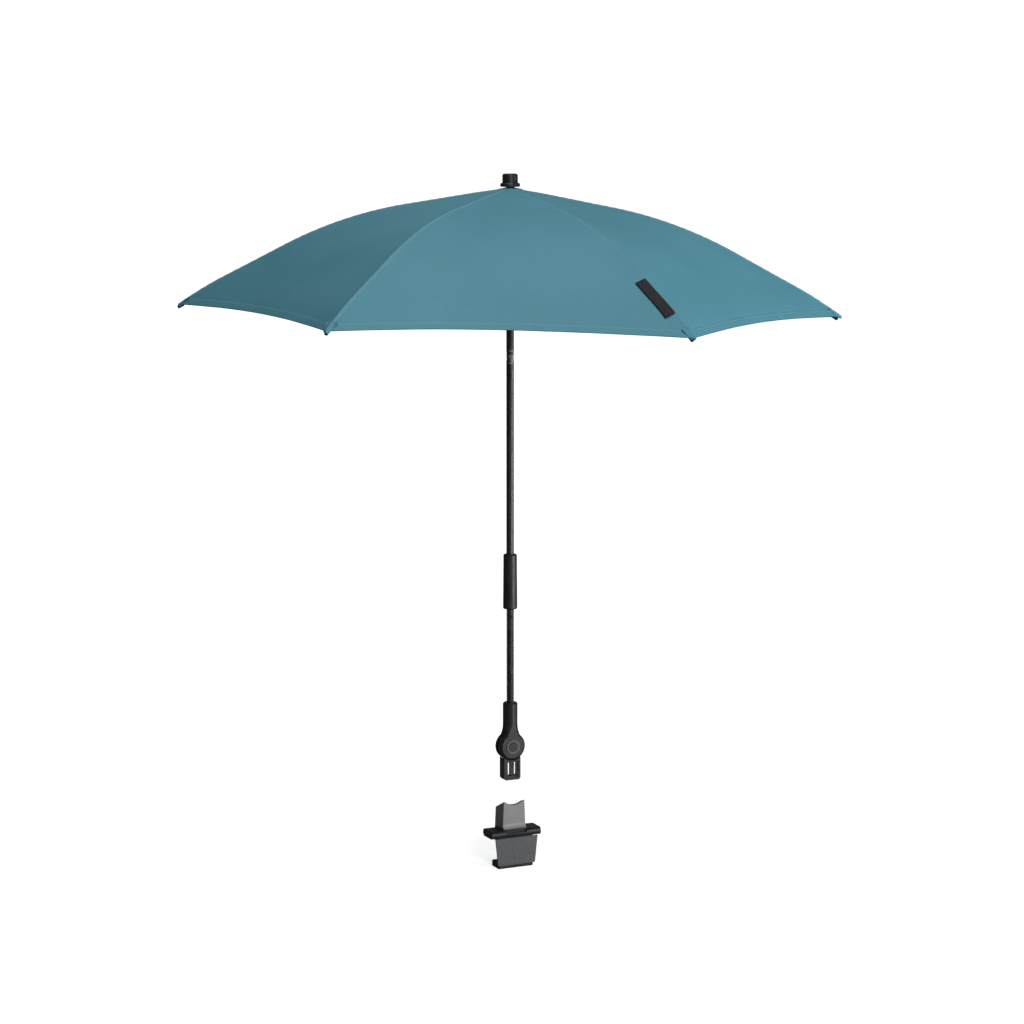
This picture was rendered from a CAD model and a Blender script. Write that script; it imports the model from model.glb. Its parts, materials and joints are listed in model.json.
"""Looks of the clip-on parasol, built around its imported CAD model.

Named lengths are in millimetres, and MM turns them into the scene's metres. The camera and the lamps are
placed in metres.
"""
import json
import math

import bpy
import numpy as np
from mathutils import Matrix, Vector


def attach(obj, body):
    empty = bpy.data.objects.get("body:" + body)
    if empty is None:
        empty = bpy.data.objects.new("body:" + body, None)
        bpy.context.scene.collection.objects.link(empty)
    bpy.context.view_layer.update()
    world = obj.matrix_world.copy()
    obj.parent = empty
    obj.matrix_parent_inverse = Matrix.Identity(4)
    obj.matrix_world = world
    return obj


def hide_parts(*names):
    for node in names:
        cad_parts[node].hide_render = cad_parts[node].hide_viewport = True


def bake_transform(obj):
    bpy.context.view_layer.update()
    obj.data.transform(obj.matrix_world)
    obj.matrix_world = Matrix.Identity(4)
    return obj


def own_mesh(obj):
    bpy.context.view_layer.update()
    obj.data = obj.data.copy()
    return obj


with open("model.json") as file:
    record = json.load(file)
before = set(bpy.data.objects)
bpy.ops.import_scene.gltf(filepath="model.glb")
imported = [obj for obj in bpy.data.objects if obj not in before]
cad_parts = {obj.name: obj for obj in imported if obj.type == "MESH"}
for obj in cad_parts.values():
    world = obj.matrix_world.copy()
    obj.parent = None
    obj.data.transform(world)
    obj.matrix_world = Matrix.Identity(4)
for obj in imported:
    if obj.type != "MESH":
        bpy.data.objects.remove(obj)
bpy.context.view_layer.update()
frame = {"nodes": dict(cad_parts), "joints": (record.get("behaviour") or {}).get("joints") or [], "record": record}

MM = 0.001

# ---------------------------------------------------------------- driving dimensions (millimetres, degrees)
APEX_H = 714.0
CANOPY_R = 350.0
YAW = -25.0
LEAN = 1.07
HEM_SCALLOP = 13.0
PANEL_SAG = 6.0
RIB_COUNT = 6
RIB_STEP = 60.0
ELBOW_R = 165.0
ROOT_R, ROOT_DROP = 9.0, 7.0
SLOPE_R = (0.0, 110.0, 240.0, 300.0, 350.0)
SLOPE_A = (10.3, 10.3, 28.4, 27.8, 36.0)
GORE_START = 5.5
CLOTH_T = 0.45
HEM_W = 9.0
ARM_H, ARM_TOP, ARM_R, ARM_LINKS = 162.15, 263.55, 4.15, 5
TILT_H, TUBE_R = 536.0, 4.05
BAR_TOP = 23.6
RIDGE_PITCH = 2.4
FLOOR_Z = -18.9
OUTER_SLOPE, INNER_SLOPE = 27.3, 11.0
SEAM_HALF = (1.4, 2.7)
STITCH_PITCH, STITCH_HALF, STITCH_SHARE = 3.2, 0.28, 0.72
YARN_PITCH = 0.55
RIB_GAP = 2.15
PATCH_T = 0.5
LABEL_RIB, LABEL_SIDE = 5, -1
LABEL_START, LABEL_END = 264, 318
LABEL_INNER, LABEL_OUTER = 0.6, 12.2
LABEL_T = 0.5
POCKET_START, POCKET_LEN = 338, 12.6

# Camera and studio (metres, degrees)
LENS_MM, SENSOR_MM = 97.13, 36.0
CAMERA_BACK, CAMERA_RIGHT, CAMERA_H, CAMERA_PITCH = 2.9194, 0.002, 0.8069, 8.53

COS30 = math.cos(math.radians(30))
# Between the rib and the middle of its gore, a line's distance along the rib shrinks to this share.
MIDDLE_SHARE = 0.75


# ---------------------------------------------------------------- camera, light and floor
def look_at(obj, target):
    direction = Vector(target) - obj.location
    obj.rotation_euler = direction.to_track_quat("-Z", "Y").to_euler()


def make_camera():
    view = Vector((math.sin(math.radians(-YAW)), math.cos(math.radians(-YAW)), 0))
    right = Vector((view.y, -view.x, 0))
    camera = bpy.data.objects.new("camera", bpy.data.cameras.new("camera"))
    bpy.context.scene.collection.objects.link(camera)
    camera.data.lens = LENS_MM
    camera.data.sensor_width = SENSOR_MM
    camera.data.clip_end = 100
    camera.location = -view * CAMERA_BACK + right * CAMERA_RIGHT + Vector((0, 0, CAMERA_H))
    pitch = math.radians(CAMERA_PITCH)
    look_at(camera, camera.location + view * math.cos(pitch) - Vector((0, 0, math.sin(pitch))))
    bpy.context.scene.camera = camera
    return view, right


def area_light(name, place, target, size, power):
    lamp = bpy.data.lights.new(name, "AREA")
    lamp.shape = "DISK"
    lamp.size = size
    lamp.energy = power
    obj = bpy.data.objects.new(name, lamp)
    obj.location = place
    bpy.context.scene.collection.objects.link(obj)
    look_at(obj, target)


def from_camera(view, right, turn, rise, distance, height):
    """A place turn degrees to the right of the camera's side and rise degrees up, from a given height."""
    t, e = math.radians(turn), math.radians(rise)
    flat = (-view * math.cos(t) + right * math.sin(t)) * math.cos(e)
    return (flat + Vector((0, 0, math.sin(e)))) * distance + Vector((0, 0, height))


def make_studio(view, right):
    world = bpy.data.worlds.new("studio")
    bpy.context.scene.world = world
    world.use_nodes = True
    tree = world.node_tree
    ambient = tree.nodes["Background"]
    ambient.inputs["Color"].default_value = (1, 1, 1, 1)
    # The surroundings are a little darker on the left, as in a studio with one bright side.
    toward_right = tree.nodes.new("ShaderNodeVectorMath")
    toward_right.operation = "DOT_PRODUCT"
    tree.links.new(tree.nodes.new("ShaderNodeTexCoord").outputs["Generated"], toward_right.inputs[0])
    toward_right.inputs[1].default_value = tuple(right)
    level = tree.nodes.new("ShaderNodeMapRange")
    for socket, value in (("From Min", -1.0), ("From Max", 1.0), ("To Min", 0.06), ("To Max", 0.22)):
        level.inputs[socket].default_value = value
    tree.links.new(toward_right.outputs["Value"], level.inputs["Value"])
    tree.links.new(level.outputs["Result"], ambient.inputs["Strength"])
    backdrop = tree.nodes.new("ShaderNodeBackground")
    backdrop.inputs["Strength"].default_value = 1.05
    path = tree.nodes.new("ShaderNodeLightPath")
    either = tree.nodes.new("ShaderNodeMixShader")
    tree.links.new(path.outputs["Is Camera Ray"], either.inputs[0])
    tree.links.new(ambient.outputs[0], either.inputs[1])
    tree.links.new(backdrop.outputs[0], either.inputs[2])
    tree.links.new(either.outputs[0], tree.nodes["World Output"].inputs["Surface"])
    backdrop.inputs["Color"].default_value = (1, 1, 1, 1)
    canopy = (0, 0, 0.62)
    area_light("key", from_camera(view, right, 17, 16, 2.6, 0.55), canopy, 0.9, 34)
    area_light("top", from_camera(view, right, 0, 88, 1.5, 0.7), canopy, 0.7, 13)
    area_light("low", from_camera(view, right, 56, 5, 1.3, 0.05), (0, 0, 0.05), 0.4, 9)
    area_light("side", from_camera(view, right, 82, 3, 1.7, 0.2), (0, 0, 0.25), 0.25, 9)

    mesh = bpy.data.meshes.new("floor")
    half = 30.0
    corners = [(x * half, y * half, FLOOR_Z * MM) for x, y in ((-1, -1), (1, -1), (1, 1), (-1, 1))]
    mesh.from_pydata(corners, [], [(0, 1, 2, 3)])
    floor = bpy.data.objects.new("floor", mesh)
    bpy.context.scene.collection.objects.link(floor)
    paint = bpy.data.materials.new("floor")
    paint.use_nodes = True
    nodes, links = paint.node_tree.nodes, paint.node_tree.links
    shader = nodes["Principled BSDF"]
    shader.inputs["Roughness"].default_value = 0.9
    shader.inputs["Specular IOR Level"].default_value = 0.1
    shader.inputs["Emission Color"].default_value = (1, 1, 1, 1)
    # The floor is white to the eye, and whiter far away, but throws little light back at the dark parts.
    seen = nodes.new("ShaderNodeLightPath").outputs["Is Camera Ray"]
    shade = nodes.new("ShaderNodeMix")
    shade.data_type = "RGBA"
    shade.inputs["A"].default_value = (0.30, 0.30, 0.30, 1)
    shade.inputs["B"].default_value = (0.90, 0.90, 0.90, 1)
    links.new(seen, shade.inputs["Factor"])
    links.new(shade.outputs["Result"], shader.inputs["Base Color"])
    distance = nodes.new("ShaderNodeVectorMath")
    distance.operation = "LENGTH"
    links.new(nodes.new("ShaderNodeTexCoord").outputs["Object"], distance.inputs[0])
    glow = nodes.new("ShaderNodeMapRange")
    for socket, value in (("From Min", 0.5), ("From Max", 2.5), ("To Min", 0.72), ("To Max", 1.0)):
        glow.inputs[socket].default_value = value
    links.new(distance.outputs["Value"], glow.inputs["Value"])
    only_seen = nodes.new("ShaderNodeMath")
    only_seen.operation = "MULTIPLY"
    links.new(glow.outputs["Result"], only_seen.inputs[0])
    links.new(seen, only_seen.inputs[1])
    links.new(only_seen.outputs[0], shader.inputs["Emission Strength"])
    floor.data.materials.append(paint)
    bpy.context.scene.view_settings.view_transform = "Standard"


# ---------------------------------------------------------------- materials
class Nodes:
    """A few short helpers for building one material's node tree."""

    def __init__(self, name):
        self.material = bpy.data.materials.new(name)
        self.material.use_nodes = True
        self.tree = self.material.node_tree
        self.shader = self.tree.nodes["Principled BSDF"]

    def add(self, kind, **values):
        n = self.tree.nodes.new(kind)
        for key, value in values.items():
            setattr(n, key, value)
        return n

    def link(self, a, b):
        self.tree.links.new(a, b)

    def feed(self, socket, value):
        if isinstance(value, (int, float, tuple)):
            socket.default_value = value
        else:
            self.link(value, socket)

    def math(self, op, a, b=0.0, c=0.0):
        n = self.add("ShaderNodeMath", operation=op)
        for socket, value in zip(n.inputs, (a, b, c)):
            self.feed(socket, value)
        return n.outputs[0]

    def mix(self, factor, a, b):
        n = self.add("ShaderNodeMix", data_type="RGBA")
        self.feed(n.inputs["Factor"], factor)
        self.feed(n.inputs["A"], a)
        self.feed(n.inputs["B"], b)
        return n.outputs["Result"]

    def noise(self, vector, scale, detail=3.0, rough=0.5):
        n = self.add("ShaderNodeTexNoise")
        self.link(vector, n.inputs["Vector"])
        n.inputs["Scale"].default_value = scale
        n.inputs["Detail"].default_value = detail
        n.inputs["Roughness"].default_value = rough
        return n.outputs["Fac"]

    def ramp(self, value, low, high, to_low=0.0, to_high=1.0):
        n = self.add("ShaderNodeMapRange", clamp=True)
        self.link(value, n.inputs["Value"])
        n.inputs["From Min"].default_value = low
        n.inputs["From Max"].default_value = high
        n.inputs["To Min"].default_value = to_low
        n.inputs["To Max"].default_value = to_high
        return n.outputs["Result"]

    def bump(self, height, strength, distance):
        n = self.add("ShaderNodeBump")
        n.inputs["Strength"].default_value = strength
        n.inputs["Distance"].default_value = distance
        self.link(height, n.inputs["Height"])
        self.link(n.outputs["Normal"], self.shader.inputs["Normal"])

    def object_place(self):
        return self.add("ShaderNodeTexCoord").outputs["Object"]

    def uv(self, name):
        n = self.add("ShaderNodeUVMap", uv_map=name)
        parts = self.add("ShaderNodeSeparateXYZ")
        self.link(n.outputs["UV"], parts.inputs[0])
        return n.outputs["UV"], parts.outputs["X"], parts.outputs["Y"]


def line_at(m, value, centre, half):
    """1 where value is within half of centre."""
    away = m.math("ABSOLUTE", m.math("SUBTRACT", value, centre))
    return m.math("LESS_THAN", away, half)


def dashes(m, way):
    """1 on the stitches of a line that runs along way, 0 in the gaps between them."""
    return m.math("LESS_THAN", m.math("FRACT", m.math("DIVIDE", way, STITCH_PITCH * MM)), STITCH_SHARE)


def cloth_material(name, dark, light, thread):
    m = Nodes(name)
    weave, across, along = m.uv("Weave")
    _, seam, hem = m.uv("Edge")
    place = m.object_place()
    slow = m.noise(place, 9.0, 2.0)
    fine = m.noise(weave, 900.0, 2.0)
    slub = m.noise(place, 160.0, 3.0, 0.6)
    tone = m.mix(m.ramp(slow, 0.35, 0.65), dark, light)
    tone = m.mix(m.ramp(fine, 0.3, 0.7, 0.0, 0.16), tone, tuple(0.55 * c for c in dark[:3]) + (1.0,))
    tone = m.mix(m.ramp(slub, 0.45, 0.75, 0.0, 0.10), tone, thread)
    # Stitches: dashes beside each seam and along the hem.
    dash = dashes(m, along)
    dash_hem = dashes(m, across)
    near_seam = m.math("MULTIPLY", line_at(m, seam, 2.0 * MM, STITCH_HALF * MM), dash)
    near_hem = m.math("MULTIPLY", line_at(m, hem, (HEM_W - 1.6) * MM, STITCH_HALF * MM), dash_hem)
    stitch = m.math("MAXIMUM", near_seam, near_hem)
    tone = m.mix(m.math("MULTIPLY", stitch, 0.6), tone, thread)
    m.link(tone, m.shader.inputs["Base Color"])
    # Plain weave, two crossing sets of yarns.
    yarn = 2 * math.pi / (YARN_PITCH * MM)
    warp = m.math("SINE", m.math("MULTIPLY", across, yarn))
    weft = m.math("SINE", m.math("MULTIPLY", along, yarn))
    cross = m.math("MULTIPLY", m.math("MULTIPLY", warp, weft), 0.5)
    rough_yarn = m.math("ADD", cross, m.math("MULTIPLY", slub, 0.5))
    height = m.math("ADD", rough_yarn, m.math("MULTIPLY", stitch, 2.0))
    m.bump(height, 0.25, 0.00012)
    m.link(m.ramp(slub, 0.3, 0.7, 0.58, 0.72), m.shader.inputs["Roughness"])
    m.shader.inputs["Specular IOR Level"].default_value = 0.38
    m.shader.inputs["Sheen Weight"].default_value = 0.02
    m.shader.inputs["Sheen Roughness"].default_value = 0.45
    m.shader.inputs["Sheen Tint"].default_value = (0.95, 0.97, 1.0, 1)
    return m.material


def hard_material(name, color, edge, rough, grain_scale, grain, metallic=0.0, coat=0.0, gloss=0.5,
                  above=None, ridged=False):
    """Moulded plastic or painted metal: fine grain, soft stains in the gloss, and paler worn edges.

    above is a second colour that the part has over the top of the adapter's bar. A ridged piece is darker
    in its grooves, where its UV map "Ridge" is near 1.
    """
    m = Nodes(name)
    place = m.object_place()
    grains = m.noise(place, grain_scale, 2.0, 0.6)
    stains = m.noise(place, 60.0, 4.0, 0.6)
    sharp = m.add("ShaderNodeNewGeometry").outputs["Pointiness"]
    worn = m.math("MULTIPLY", m.ramp(sharp, 0.52, 0.60), m.ramp(m.noise(place, 420.0), 0.4, 0.62))
    base = m.mix(m.ramp(stains, 0.35, 0.7, 0.0, 0.5), color, edge)
    base = m.mix(m.math("MULTIPLY", worn, 0.7), base, edge)
    if ridged:
        _, groove, _ = m.uv("Ridge")
        base = m.mix(m.ramp(groove, 0.30, 0.75), base, (0.002, 0.002, 0.002, 1))
    if above:
        parts = m.add("ShaderNodeSeparateXYZ")
        m.link(place, parts.inputs[0])
        high = m.ramp(parts.outputs["Z"], (BAR_TOP + 0.2) * MM, (BAR_TOP + 1.4) * MM)
        base = m.mix(high, base, m.mix(m.ramp(stains, 0.3, 0.7, 0.0, 0.25), above, edge))
    m.link(base, m.shader.inputs["Base Color"])
    m.link(m.math("ADD", m.ramp(stains, 0.3, 0.7, rough - 0.06, rough + 0.08),
                  m.ramp(grains, 0.3, 0.7, -0.03, 0.03)), m.shader.inputs["Roughness"])
    m.bump(grains, grain, 0.0001)
    m.shader.inputs["Metallic"].default_value = metallic
    m.shader.inputs["Specular IOR Level"].default_value = gloss
    m.shader.inputs["Coat Weight"].default_value = coat
    m.shader.inputs["Coat Roughness"].default_value = 0.25
    return m.material


def make_materials():
    return {
        "canopy_cloth": cloth_material("teal cloth", (0.054, 0.225, 0.296, 1), (0.064, 0.247, 0.323, 1),
                                       (0.20, 0.38, 0.43, 1)),
        "black_plastic": hard_material("black plastic", (0.008, 0.008, 0.009, 1), (0.020, 0.020, 0.021, 1),
                                       0.38, 2600, 0.35, gloss=0.30),
        "grey_plastic": hard_material("grey plastic", (0.007, 0.007, 0.008, 1), (0.018, 0.018, 0.019, 1),
                                      0.40, 2600, 0.35, gloss=0.30, above=(0.205, 0.205, 0.210, 1)),
        "plate_plastic": hard_material("textured plastic", (0.050, 0.053, 0.057, 1),
                                       (0.076, 0.080, 0.085, 1), 0.55, 1400, 0.9, gloss=0.35),
        "rubber_pad": hard_material("rubber", (0.010, 0.010, 0.010, 1), (0.03, 0.03, 0.03, 1),
                                    0.72, 1800, 0.6),
        "painted_tube": hard_material("satin black tube", (0.008, 0.008, 0.009, 1), (0.02, 0.02, 0.021, 1),
                                      0.34, 3000, 0.2, gloss=0.35),
        "arm_metal": hard_material("black oxide", (0.014, 0.014, 0.015, 1), (0.16, 0.16, 0.165, 1),
                                   0.30, 2400, 0.3, 0.5),
        "wound_strip": hard_material("wound strip", (0.030, 0.030, 0.031, 1), (0.12, 0.12, 0.125, 1),
                                     0.26, 2400, 0.2, 0.6, ridged=True),
        "dark_metal": hard_material("dark metal", (0.022, 0.022, 0.023, 1), (0.14, 0.14, 0.145, 1),
                                    0.38, 2400, 0.3, 0.5),
        "rivet_metal": hard_material("rivet", (0.38, 0.38, 0.39, 1), (0.6, 0.6, 0.62, 1),
                                     0.3, 2000, 0.2, 1.0),
        "spring_steel": hard_material("spring wire", (0.42, 0.42, 0.44, 1), (0.6, 0.6, 0.62, 1),
                                      0.3, 2000, 0.2, 1.0),
        "rib_steel": hard_material("lacquered rib", (0.018, 0.018, 0.019, 1), (0.05, 0.05, 0.052, 1),
                                   0.3, 2400, 0.2, 0.3, 0.2),
    }


# ---------------------------------------------------------------- mesh helpers
def make_piece(name, points, faces, material, normals=None, smooth=True):
    """A mesh piece from points in millimetres. normals, where given, are one per point."""
    mesh = bpy.data.meshes.new(name)
    mesh.from_pydata((np.asarray(points, float) * MM).tolist(), [], faces)
    mesh.polygons.foreach_set("use_smooth", [smooth] * len(mesh.polygons))
    mesh.materials.append(material)
    mesh.validate()
    if normals is not None:
        mesh.normals_split_custom_set_from_vertices(np.asarray(normals, float).tolist())
    mesh.update()
    obj = bpy.data.objects.new(name, mesh)
    bpy.context.scene.collection.objects.link(obj)
    return obj


def grid_faces(rows, cols, start=0, flip=False, closed=False):
    faces = []
    for j in range(rows - 1):
        for k in range(cols if closed else cols - 1):
            k2 = (k + 1) % cols
            here = start + j * cols
            quad = (here + k, here + k2, here + cols + k2, here + cols + k)
            faces.append(quad[::-1] if flip else quad)
    return faces


def rim_faces(rows, cols, flip):
    """The wall that joins the rims of two equal grids, of which the second follows the first."""
    border = ([(0, k) for k in range(cols)] + [(j, cols - 1) for j in range(1, rows)]
              + [(rows - 1, k) for k in range(cols - 2, -1, -1)] + [(j, 0) for j in range(rows - 2, 0, -1)])
    ring = [j * cols + k for j, k in border]
    n = rows * cols
    faces = []
    for a, b in zip(ring, ring[1:] + ring[:1]):
        faces.append((a, b, b + n, a + n) if flip else (b, a, a + n, b + n))
    return faces


def end_caps(rows, cols):
    """The two end faces of a closed tube of rings."""
    return [tuple(range(cols))[::-1], tuple(range((rows - 1) * cols, rows * cols))]


def smoothstep(low, high, value):
    t = np.clip((value - low) / (high - low), 0, 1)
    return t * t * (3 - 2 * t)


# ---------------------------------------------------------------- canopy surface
def cloth_drop(r):
    """Drop of the cloth below its apex at radius r along a rib."""
    s = np.asarray(r, float)
    total = np.zeros_like(s)
    for r1, r2, a1, a2 in zip(SLOPE_R, SLOPE_R[1:], SLOPE_A, SLOPE_A[1:]):
        x = np.clip(s - r1, 0, r2 - r1)
        if abs(a2 - a1) < 0.01:
            total += x * math.tan(math.radians(a1))
        else:
            end = np.radians(a1 + (a2 - a1) * x / (r2 - r1))
            per = math.radians(a2 - a1) / (r2 - r1)
            total += np.log(math.cos(math.radians(a1)) / np.cos(end)) / per
    return total


def spin_matrix():
    """The turn of the canopy's own frame in the row frame."""
    a = math.radians(YAW)
    return np.array([[math.cos(a), -math.sin(a), 0], [math.sin(a), math.cos(a), 0], [0, 0, 1]])


def to_row(p):
    """From the canopy's own frame, apex at the origin, to the row frame."""
    a = math.radians(YAW)
    x, y, z = p[..., 0], p[..., 1], p[..., 2]
    return np.stack([x * math.cos(a) - y * math.sin(a), x * math.sin(a) + y * math.cos(a), z + APEX_H], -1)


def line_share(q):
    return MIDDLE_SHARE + (1 - MIDDLE_SHARE) * q


def cloth_point(i, side, u, q):
    """u is the radius of this line where it meets the rib, q is 1 on rib i and 0 at the panel's middle."""
    along = u * line_share(q)
    across = side * u * (1 - q) * COS30 / 2
    a = math.radians(RIB_STEP * i)
    x = along * math.cos(a) - across * math.sin(a)
    y = along * math.sin(a) + across * math.cos(a)
    panel = (i if side > 0 else i - 1) % RIB_COUNT
    c = -q if side > 0 else q
    sag = PANEL_SAG * (u / CANOPY_R) ** 2 * (1 - q * q)
    # The cloth wanders a little between ribs, and the tips pull small waves into it.
    wander = 0.7 * np.sin(0.021 * u + 1.9 * panel) * np.sin(2.1 * c + 0.8 * panel)
    drift = wander * (1 - q * q) * (u / CANOPY_R)
    fade = 0.5 * np.exp(-((CANOPY_R - u) / 60.0))
    pull = fade * np.sin(14.0 * (1 - q)) * (1 - q) * np.exp(-3 * (1 - q))
    z = -cloth_drop(u) - sag + drift + pull - math.tan(math.radians(LEAN)) * x
    return np.stack([x, y, z], -1)


def cloth_normal(i, side, u, q):
    h = 0.5
    du = cloth_point(i, side, u + h, q) - cloth_point(i, side, u - h, q)
    ahead, behind = np.minimum(q + 0.01, 1), np.maximum(q - 0.01, 0)
    dq = cloth_point(i, side, u, ahead) - cloth_point(i, side, u, behind)
    n = np.cross(du, dq) * (-side)
    n /= np.linalg.norm(n, axis=-1, keepdims=True)
    return n * np.sign(n[..., 2:3])


def crease_u(q):
    return ELBOW_R / line_share(q)


def hem_u(q):
    return CANOPY_R - HEM_SCALLOP * (1 - q * q)


def gore_grid(outer):
    """The u and q of every point of a half gore, close together at the hem and at the seam."""
    rows = np.linspace(0, 1, 50)
    seam_mm = np.array([0, 0.7, 1.4, 2.0, 2.7, 3.6])
    even = np.linspace(0, 1, 14)[1:]
    hem_mm = np.array([10.6, 9.6, 8.8, 8.0, 0.7, 0.0])
    grid_u, grid_q = [], []
    for t in rows:
        lo = crease_u(1.0) if outer else GORE_START
        hi = hem_u(1.0) if outer else crease_u(1.0)
        half = (lo + (hi - lo) * t) * COS30 / 2
        near = seam_mm * min(1.0, 0.35 * half / seam_mm[-1])
        f = np.concatenate([near / half, near[-1] / half + (1 - near[-1] / half) * even])
        q = 1 - f
        start = crease_u(q) if outer else np.full_like(q, GORE_START)
        stop = hem_u(q) - (hem_mm[0] if outer else 0) if outer else crease_u(q)
        grid_u.append(start + (stop - start) * t)
        grid_q.append(q)
    if outer:
        for d in hem_mm[1:]:
            grid_q.append(grid_q[-1])
            grid_u.append(hem_u(grid_q[-1]) - d)
    return np.array(grid_u), np.array(grid_q)


def cloth_relief(u, q, hem_dist, seam_dist):
    """Height of the seam ridge, its puckers and the hem above the smooth cloth."""
    ridge = 0.55 * (1 - smoothstep(*SEAM_HALF, seam_dist)) * smoothstep(12, 40, u)
    pucker = 0.16 * np.sin(2 * math.pi * u / 9.0) * np.exp(-seam_dist / 7.0) * smoothstep(20, 60, u)
    hem = 0.32 * (1 - smoothstep(8.0, 9.0, hem_dist)) - 0.12 * np.exp(-((hem_dist - 9.6) / 0.8) ** 2)
    ripple = 0.14 * np.sin(2 * math.pi * u * (1 - q) / 15.0) * np.exp(-hem_dist / 9.0)
    return ridge + pucker + hem + ripple


def fold_axis(i, side, outer):
    """In the cloth, square to the rib: the way that a half gore gathers when the ribs fold."""
    slope = math.radians(OUTER_SLOPE if outer else INNER_SLOPE)
    rib = Vector((math.cos(slope), 0, -math.sin(slope)))
    chord = Vector((-0.5, side * COS30, 0))
    axis = (chord - rib * chord.dot(rib)).normalized()
    axis.rotate(Matrix.Rotation(math.radians(RIB_STEP * i + YAW), 3, "Z"))
    return tuple(axis)


def gather(piece, i, side, outer):
    anchor = to_row(cloth_point(i, side, np.array(ELBOW_R), np.array(1.0))) * MM
    fold_axis(i, side, outer)
    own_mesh(piece)


def set_uv(mesh, name, values):
    layer = mesh.uv_layers.new(name=name)
    index = np.empty(len(mesh.loops), int)
    mesh.loops.foreach_get("vertex_index", index)
    layer.data.foreach_set("uv", values[index].ravel())


def half_gore(i, side, outer, material):
    u, q = gore_grid(outer)
    rows, cols = u.shape
    top = cloth_point(i, side, u, q)
    normal = cloth_normal(i, side, u, q)
    seam_dist = u * (1 - q) * COS30 / 2
    hem_dist = hem_u(q) - u if outer else np.full_like(u, 400.0)
    lift = cloth_relief(u, q, hem_dist, seam_dist)
    hem_extra = 0.3 * (1 - smoothstep(8.0, 9.0, hem_dist))
    seam_extra = 0.25 * (1 - smoothstep(*SEAM_HALF, seam_dist))
    inside = -CLOTH_T - hem_extra - seam_extra
    upper = to_row(top + normal * lift[..., None]).reshape(-1, 3)
    lower = to_row(top + normal * inside[..., None]).reshape(-1, 3)
    spin = spin_matrix()
    # Shading follows the smooth cloth, tipped by the slope of its relief.
    step_u = np.gradient(lift, axis=0) / np.maximum(np.gradient(u, axis=0), 0.2)
    step_s = np.gradient(lift, axis=1) / np.maximum(np.gradient(seam_dist, axis=1), 0.2)
    du = cloth_point(i, side, u + 0.5, q) - top
    du /= np.linalg.norm(du, axis=-1, keepdims=True)
    ds = np.cross(normal, du) * (-side if side > 0 else 1)
    toward_middle = cloth_point(i, side, u, np.maximum(q - 0.02, 0)) - top
    ds *= np.sign((ds * toward_middle).sum(-1, keepdims=True) + 1e-12)
    shade = normal - du * step_u[..., None] - ds * step_s[..., None]
    shade /= np.linalg.norm(shade, axis=-1, keepdims=True)
    shade = (shade.reshape(-1, 3)) @ spin.T
    flip = side > 0
    n = rows * cols
    faces = grid_faces(rows, cols, 0, flip) + grid_faces(rows, cols, n, not flip)
    faces += rim_faces(rows, cols, flip)
    place = "outer" if outer else "inner"
    hand = "left" if side > 0 else "right"
    points = np.concatenate([upper, lower])
    piece = make_piece(f"panel_{place}_{i + 1}_{hand}", points, faces, material,
                       normals=np.concatenate([shade, -(normal.reshape(-1, 3) @ spin.T)]))
    weave = np.stack([side * u * (1 - q) * COS30 / 2, u * line_share(q)], -1).reshape(-1, 2) * MM
    edge = np.stack([seam_dist, hem_dist], -1).reshape(-1, 2) * MM
    set_uv(piece.data, "Weave", np.concatenate([weave, weave]))
    set_uv(piece.data, "Edge", np.concatenate([edge, edge]))
    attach(piece, f"tip_{i + 1}" if outer else f"rib_{i + 1}")
    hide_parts(f"canopy_{place}_{i + 1}")
    gather(piece, i, side, outer)
    return piece


# ---------------------------------------------------------------- small cloth pieces
def crown_patch(material):
    """Round patch of cloth under the ferrule, which covers the gores' inner ends."""
    rings = np.array([3.7, 6, 8, 10, 11.5, 12.6, 13.2, 13.4])
    lifts = np.array([0.55, 0.55, 0.55, 0.55, 0.55, 0.5, 0.3, -0.2])
    turn = np.radians(np.arange(0, 360, 6))
    rows, cols = len(rings), len(turn)
    n = rows * cols
    height = np.broadcast_to((lifts - cloth_drop(rings * 1.04))[:, None], (rows, cols))
    top = np.stack([rings[:, None] * np.cos(turn), rings[:, None] * np.sin(turn), height], -1)
    low = top - np.array([0, 0, PATCH_T])
    points = np.concatenate([to_row(top).reshape(-1, 3), to_row(low).reshape(-1, 3)])
    faces = grid_faces(rows, cols, 0, True, closed=True) + grid_faces(rows, cols, n, False, closed=True)
    last = (rows - 1) * cols
    for k in range(cols):
        k2 = (k + 1) % cols
        faces.append((k, k2, n + k2, n + k))
        faces.append((last + k2, last + k, n + last + k, n + last + k2))
    piece = make_piece("crown_patch", points, faces, material)
    flat = np.stack([points[:, 0], points[:, 1]], -1) * MM
    set_uv(piece.data, "Weave", flat)
    set_uv(piece.data, "Edge", np.full_like(flat, 0.4))
    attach(piece, "shaft")


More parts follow.
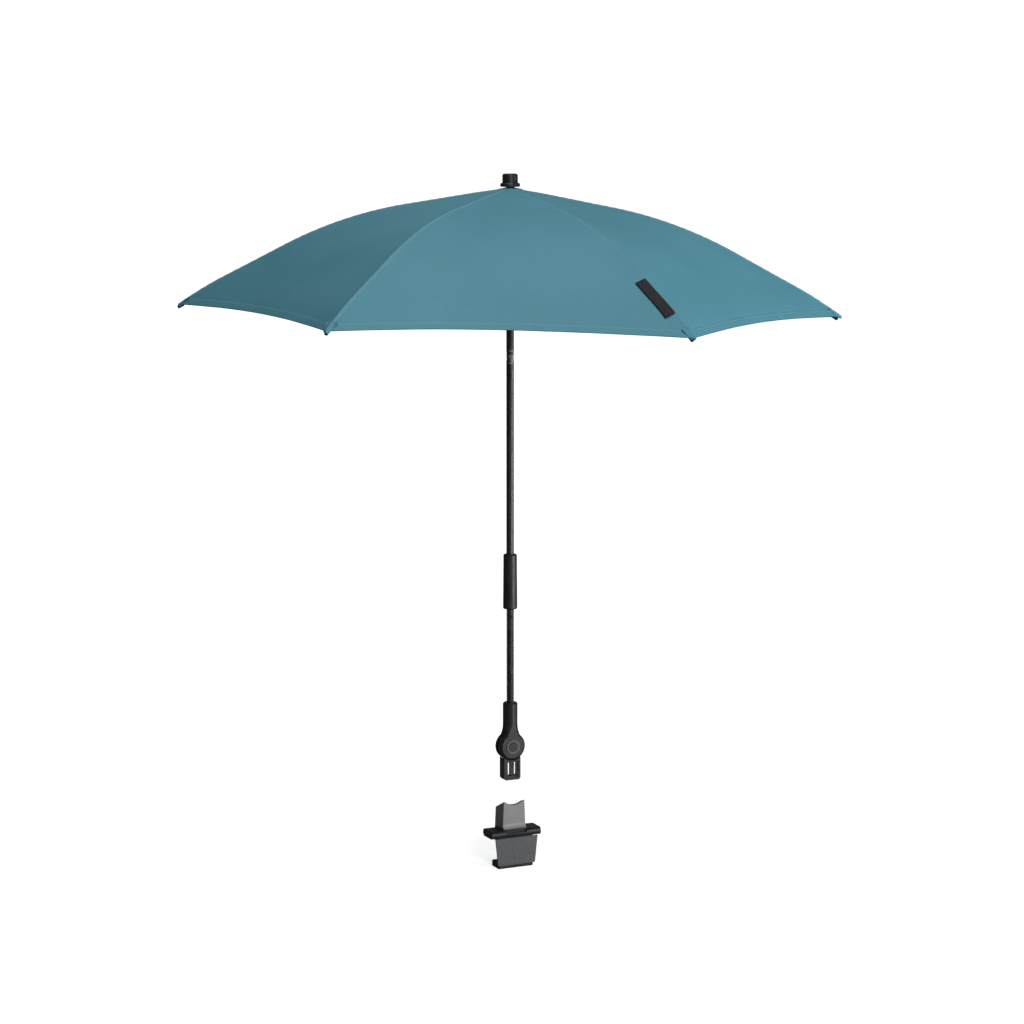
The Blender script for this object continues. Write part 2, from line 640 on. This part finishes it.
def tip_pocket(i, material):
    """The small sewn pocket that holds the end of a rib."""
    stations = np.linspace(0, 1, 12)
    turn = np.linspace(0, 2 * math.pi, 28, endpoint=False)
    a = math.radians(RIB_STEP * i)
    rings = []
    for s in stations:
        r = POCKET_START + POCKET_LEN * s
        nose = max(0, (s - 0.8) / 0.2) ** 2
        half = (4.6 * (1 - s) ** 0.8 + 2.3) * math.sqrt(max(1 - nose * 0.75, 0))
        crest = -float(cloth_drop(min(r, 349.5))) + 0.75 - 0.25 * s
        deep = 1.0 + 3.1 * float(smoothstep(0, 0.75, s)) - 1.6 * nose
        y = half * np.cos(turn)
        fall = 0.0050 * y ** 2 + 0.40 * np.abs(y) * (1 - s)
        z = crest - deep * (1 - np.sin(turn)) / 2 - fall * (np.sin(turn) > -0.2)
        x = np.full_like(y, r)
        z = z - math.tan(math.radians(LEAN)) * (x * math.cos(a) - y * math.sin(a))
        rings.append(np.stack([x * math.cos(a) - y * math.sin(a), x * math.sin(a) + y * math.cos(a), z], -1))
    rings = np.array(rings)
    points = to_row(rings).reshape(-1, 3)
    cols = len(turn)
    faces = grid_faces(len(stations), cols, 0, False, closed=True)
    faces += [cap[::-1] for cap in end_caps(len(stations), cols)]
    piece = make_piece(f"tip_pocket_{i + 1}", points, faces, material)
    flat = np.stack([np.tile(turn * 3, len(stations)), np.repeat(stations * 17, cols)], -1) * MM
    set_uv(piece.data, "Weave", flat)
    set_uv(piece.data, "Edge", np.full_like(flat, 0.4))
    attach(piece, f"tip_{i + 1}")


def label_material():
    m = Nodes("label weave")
    _, across, along = m.uv("Weave")
    rib = m.math("SINE", m.math("MULTIPLY", along, 2 * math.pi / (0.5 * MM)))
    twill = m.math("SINE", m.math("MULTIPLY", m.math("ADD", across, along), 2 * math.pi / (0.8 * MM)))
    border = line_at(m, across, 0.9 * MM, 0.22 * MM)
    tone = m.mix(m.ramp(twill, -1, 1, 0.0, 0.5), (0.006, 0.006, 0.009, 1), (0.018, 0.018, 0.024, 1))
    tone = m.mix(m.math("MULTIPLY", border, 0.35), tone, (0.25, 0.26, 0.28, 1))
    m.link(tone, m.shader.inputs["Base Color"])
    m.link(m.ramp(rib, -1, 1, 0.5, 0.65), m.shader.inputs["Roughness"])
    m.bump(m.math("ADD", rib, twill), 0.35, 0.0001)
    m.shader.inputs["Specular IOR Level"].default_value = 0.2
    return m.material


def seam_label():
    """Blank woven label sewn along one seam, on the front panel."""
    i, side = LABEL_RIB, LABEL_SIDE
    along = np.linspace(LABEL_START, LABEL_END, 30)
    across = np.linspace(LABEL_INNER, LABEL_OUTER, 9)
    u_grid, d_grid = np.meshgrid(along, across, indexing="ij")
    q = 1 - d_grid / (u_grid * COS30 / 2)
    # Square to the rib: keep the distance along the rib the same across the label.
    u = u_grid / line_share(q)
    q = 1 - d_grid / (u * COS30 / 2)
    top = cloth_point(i, side, u, q)
    normal = cloth_normal(i, side, u, q)
    edge = np.minimum.reduce([u_grid - LABEL_START, LABEL_END - u_grid, LABEL_OUTER - d_grid])
    dip = 0.25 * np.sin(np.pi * (u_grid - LABEL_START) / (LABEL_END - LABEL_START))
    lift = 1.15 + 0.35 * smoothstep(0.0, 2.0, edge) - dip
    upper = to_row(top + normal * lift[..., None])
    lower = to_row(top + normal * (lift - LABEL_T)[..., None])
    rows, cols = u.shape
    n = rows * cols
    points = np.concatenate([upper.reshape(-1, 3), lower.reshape(-1, 3)])
    faces = grid_faces(rows, cols, 0, False) + grid_faces(rows, cols, n, True) + rim_faces(rows, cols, False)
    piece = make_piece("seam_label", points, faces, label_material())
    weave = np.stack([d_grid, u_grid], -1).reshape(-1, 2) * MM
    set_uv(piece.data, "Weave", np.concatenate([weave, weave]))
    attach(piece, f"tip_{i + 1}")
    gather(piece, i, side, True)


# ---------------------------------------------------------------- ribs
def sweep(path, section, name, material):
    """A closed tube: a section of (across, up) points carried along path, a list of (place, across, up)."""
    rings = []
    for place, across, up in path:
        rings.append([place + across * s[0] + up * s[1] for s in section])
    points = np.array(rings).reshape(-1, 3)
    cols = len(section)
    faces = grid_faces(len(path), cols, 0, False, closed=True) + end_caps(len(path), cols)
    return make_piece(name, points, faces, material)


def rib_drop(r):
    """Depth of a rib's middle below the apex: it leaves the crown, then lies just under the cloth."""
    extra = ROOT_DROP - RIB_GAP - float(cloth_drop(ROOT_R))
    return cloth_drop(r) + RIB_GAP + extra * np.exp(-(r - ROOT_R) / 22.0)


def rib_rod(i, material):
    """One rib, a channel open downwards, bending where its inner and outer parts meet."""
    a = math.radians(RIB_STEP * i)
    radii = np.concatenate([np.linspace(ROOT_R + 0.5, 60, 14), np.linspace(64, 341, 70)])
    drop = rib_drop(radii)
    out = np.array([math.cos(a), math.sin(a), 0])
    across = np.array([-math.sin(a), math.cos(a), 0])
    slope = np.gradient(-drop, radii)
    spin = spin_matrix()
    path = []
    for r, d, g in zip(radii, drop, slope):
        up = np.array([-g * out[0], -g * out[1], 1.0]) / math.sqrt(1 + g * g)
        lean = math.tan(math.radians(LEAN)) * r * math.cos(a)
        place = to_row(np.array([r * out[0], r * out[1], -d - lean]))
        path.append((place, spin @ across, spin @ up))
    # Half width, half height, wall and the chamfer of the channel's upper edges.
    w, h, t, c = 1.55, 1.15, 0.45, 0.35
    section = [(-w, -h), (-w, h - c), (-w + c, h), (w - c, h), (w, h - c), (w, -h),
               (w - t, -h), (w - t, h - t - 0.2), (-w + t, h - t - 0.2), (-w + t, -h)]
    piece = sweep(path, section, f"rib_rod_{i + 1}", material)
    for polygon in piece.data.polygons:
        polygon.use_smooth = False
    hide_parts(f"rib_inner_{i + 1}", f"rib_outer_{i + 1}")
    # The bend is spread from just inside the rib's break to well outside it.
    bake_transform(piece)


def arc(radius, degrees):
    """Points on a circle round a pin, going down first from its outer side."""
    return [(radius * math.cos(math.radians(t)), -radius * math.sin(math.radians(t))) for t in degrees]


def rib_bracket(i, material):
    """The pair of small ears under a rib that hold the stretcher's pin, with the pin's two heads."""
    a = math.radians(RIB_STEP * i + YAW)
    out = Vector((math.cos(a), math.sin(a), 0))
    side = Vector((-math.sin(a), math.cos(a), 0))
    hinge = next(j for j in frame["joints"] if j["name"] == f"strut_fold_{i + 1}")
    pin = Vector(hinge["pos_m"]) * 1000
    r = pin.x * out.x + pin.y * out.y
    lean = math.tan(math.radians(LEAN)) * r * math.cos(math.radians(RIB_STEP * i))
    roof = APEX_H - float(rib_drop(r)) - lean
    points, faces = [], []
    for hand in (-1, 1):
        for y0, y1, shape in ((1.15, 1.65, "ear"), (1.65, 2.15, "head")):
            if shape == "ear":
                ring = [(-3.4, roof - pin.z), (3.4, roof - pin.z)] + arc(1.7, range(0, 181, 20))
            else:
                ring = arc(1.0, range(0, 360, 24))
            start = len(points)
            count = len(ring)
            for y in (y0, y1):
                for x, z in ring:
                    points.append(tuple(pin + out * x + side * (hand * y) + Vector((0, 0, z))))
            wall = [(start + k, start + (k + 1) % count, start + count + (k + 1) % count, start + count + k)
                    for k in range(count)]
            caps = [tuple(start + k for k in cap) for cap in end_caps(2, count)]
            faces += [f if hand < 0 else f[::-1] for f in wall + caps]
    piece = make_piece(f"rib_bracket_{i + 1}", points, faces, material, smooth=False)
    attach(piece, f"rib_{i + 1}")


def rivet(name, body, height, material):
    """A rivet through the tilt joint, with a low head on the front and on the back."""
    turn = np.linspace(0, 2 * math.pi, 20, endpoint=False)
    reach, flat_r, head_r, round_off = TUBE_R + 0.45, 0.7, 1.05, 0.25
    outline = ((0.0, -reach), (flat_r, -reach), (head_r, -reach + round_off),
               (head_r, reach - round_off), (flat_r, reach), (0.0, reach))
    rings = []
    for r, y in outline:
        across, up = r * np.cos(turn), r * np.sin(turn) + height - APEX_H
        rings.append(np.stack([across, np.full_like(turn, y), up], -1))
    points = to_row(np.array(rings)).reshape(-1, 3)
    faces = grid_faces(len(rings), len(turn), 0, True, closed=True)
    piece = make_piece(name, points, faces, material)
    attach(piece, body)


# ---------------------------------------------------------------- flexible arm
def arm_sleeve(k, material):
    """The wound strip over joint k of the arm, ridged along a helix, bending smoothly between two links."""
    pitch = (ARM_TOP - ARM_H) / ARM_LINKS
    centre = ARM_H + k * pitch
    low = centre - pitch / 2 if k else ARM_H - 1.2
    high = centre + pitch / 2 if k < ARM_LINKS else ARM_TOP + 1.2
    per_turn = 10
    rows = max(int((high - low) / RIDGE_PITCH * per_turn), 8) + 1
    turn = np.linspace(0, 2 * math.pi, 40, endpoint=False)
    z = np.linspace(low, high, rows)
    phase = z[:, None] / RIDGE_PITCH - turn[None, :] / (2 * math.pi)
    wave = np.abs((phase % 1.0) - 0.5) * 2
    radius = ARM_R - 0.78 * smoothstep(0.45, 0.92, wave) - 0.12 * wave ** 2
    x, y = radius * np.cos(turn), radius * np.sin(turn)
    points = np.stack([x, y, np.broadcast_to(z[:, None], x.shape)], -1).reshape(-1, 3)
    cols = len(turn)
    faces = grid_faces(rows, cols, 0, False, closed=True)
    piece = make_piece(f"arm_sleeve_{k + 1}", points, faces, material)
    set_uv(piece.data, "Ridge", np.stack([wave.ravel(), np.zeros(wave.size)], -1))
    if k < ARM_LINKS:
        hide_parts(f"arm_link_{k + 1}")
    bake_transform(piece)


# ---------------------------------------------------------------- build
def main():
    view, right = make_camera()
    make_studio(view, right)
    materials = make_materials()
    slots = {s["node"]: s["material_slot"] for s in frame["record"]["subparts"]}
    for name, obj in frame["nodes"].items():
        obj.data.materials.clear()
        obj.data.materials.append(materials[slots[name]])
    for i in range(RIB_COUNT):
        rib_rod(i, materials["rib_steel"])
        rib_bracket(i, materials["rib_steel"])
        tip_pocket(i, materials["canopy_cloth"])
    for i in range(RIB_COUNT):
        for side in (-1, 1):
            for outer in (False, True):
                half_gore(i, side, outer, materials["canopy_cloth"])
    crown_patch(materials["canopy_cloth"])
    seam_label()
    rivet("rivet_lower", "pole", TILT_H - 7, materials["rivet_metal"])
    rivet("rivet_upper", "shaft", TILT_H + 6, materials["rivet_metal"])
    for k in range(ARM_LINKS + 1):
        arm_sleeve(k, materials["wound_strip"])


main()
